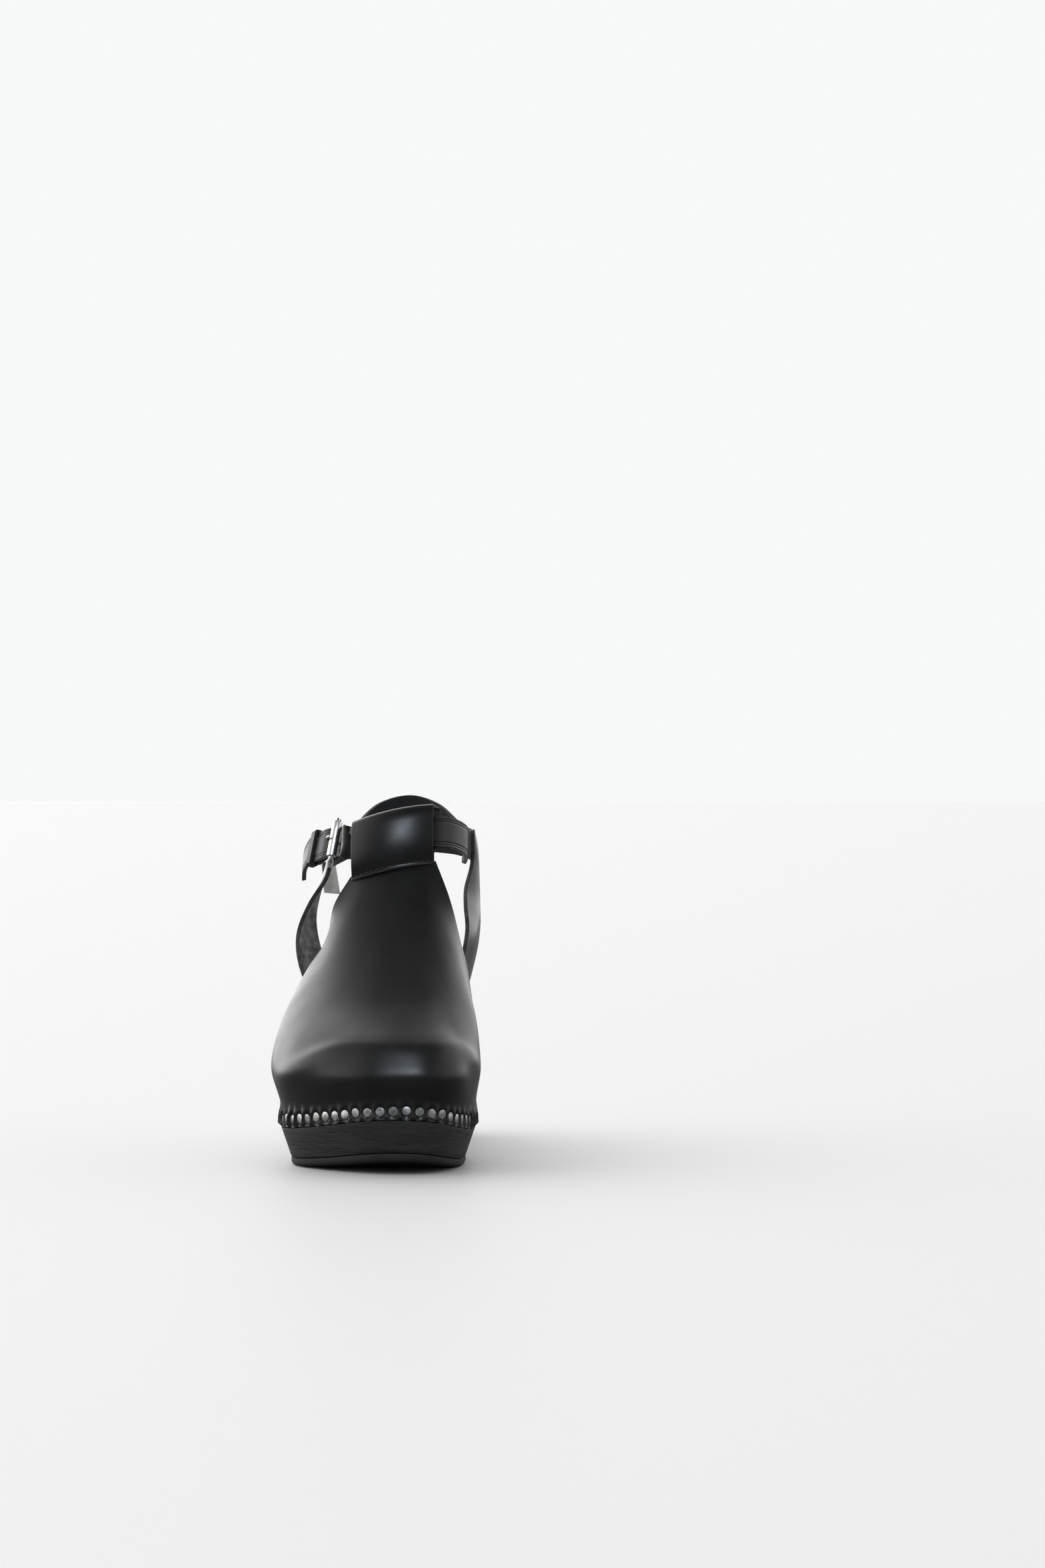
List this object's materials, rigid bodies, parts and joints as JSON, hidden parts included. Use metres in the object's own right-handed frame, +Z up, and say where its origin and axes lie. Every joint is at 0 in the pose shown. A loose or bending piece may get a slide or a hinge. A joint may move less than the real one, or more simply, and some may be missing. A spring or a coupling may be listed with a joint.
{
  "type": "wooden clog",
  "caption": "High-heeled closed-toe wooden clog for the right foot, with a nailed leather vamp, T-bar loop, ankle strap and roller buckle.",
  "frame": {"origin": "on the ground under the middle of the clog's bounding box", "axes": "+Z up, +Y from toe to heel, +X towards the inner side of the foot; the buckle is on the -X side"},
  "size_m": [0.1048, 0.2434, 0.184],
  "materials": {
    "stained_wood": "black-stained close-grained wood, satin",
    "rubber": "matt black rubber",
    "leather": "smooth black polished leather, dark raw edges",
    "nickel": "polished nickel",
    "nail_steel": "bare steel, fine scratches"
  },
  "bodies": {
    "clog": {"wooden_sole": "stained_wood", "front_outsole": "rubber", "heel_lift": "rubber", "vamp": "leather", "heel_quarter": "leather", "ankle_strap": "leather", "buckle_chape": "leather", "keeper_loop": "leather", "vamp_nail_01": "nail_steel", "vamp_nail_03": "nail_steel", "vamp_nail_05": "nail_steel", "vamp_nail_07": "nail_steel", "vamp_nail_09": "nail_steel", "vamp_nail_11": "nail_steel", "vamp_nail_13": "nail_steel", "vamp_nail_15": "nail_steel", "vamp_nail_17": "nail_steel", "vamp_nail_19": "nail_steel", "vamp_nail_21": "nail_steel", "vamp_nail_23": "nail_steel", "vamp_nail_25": "nail_steel", "vamp_nail_27": "nail_steel", "vamp_nail_29": "nail_steel", "vamp_nail_31": "nail_steel", "vamp_nail_33": "nail_steel", "vamp_nail_35": "nail_steel", "vamp_nail_37": "nail_steel", "vamp_nail_39": "nail_steel", "vamp_nail_41": "nail_steel", "vamp_nail_43": "nail_steel", "vamp_nail_45": "nail_steel", "vamp_nail_47": "nail_steel", "vamp_nail_49": "nail_steel", "vamp_nail_51": "nail_steel", "outer_leg_nail_1": "nail_steel", "outer_leg_nail_2": "nail_steel", "outer_leg_nail_3": "nail_steel", "outer_leg_nail_4": "nail_steel", "outer_leg_nail_5": "nail_steel", "inner_leg_nail_1": "nail_steel", "inner_leg_nail_2": "nail_steel", "inner_leg_nail_3": "nail_steel", "inner_leg_nail_4": "nail_steel", "inner_leg_nail_5": "nail_steel"},
    "buckle": {"buckle_frame": "nickel"},
    "roller": {"buckle_roller": "nickel"},
    "prong": {"buckle_prong": "nickel"}
  },
  "joints": [
    {"name": "buckle_swing", "type": "hinge", "parent": "clog", "child": "buckle", "pos_m": [-0.02982, 0.05068, 0.1571], "axis": [-0.1533, -0.3114, -0.9378], "range_deg": [0, 25]},
    {"name": "prong_lift", "type": "hinge", "parent": "buckle", "child": "prong", "pos_m": [-0.02982, 0.05068, 0.1571], "axis": [-0.1533, -0.3114, -0.9378], "range_deg": [0, 28]},
    {"name": "roller_spin", "type": "hinge", "parent": "buckle", "child": "roller", "pos_m": [-0.02859, 0.03824, 0.16103], "axis": [-0.1533, -0.3114, -0.9378], "continuous": true}
  ]
}
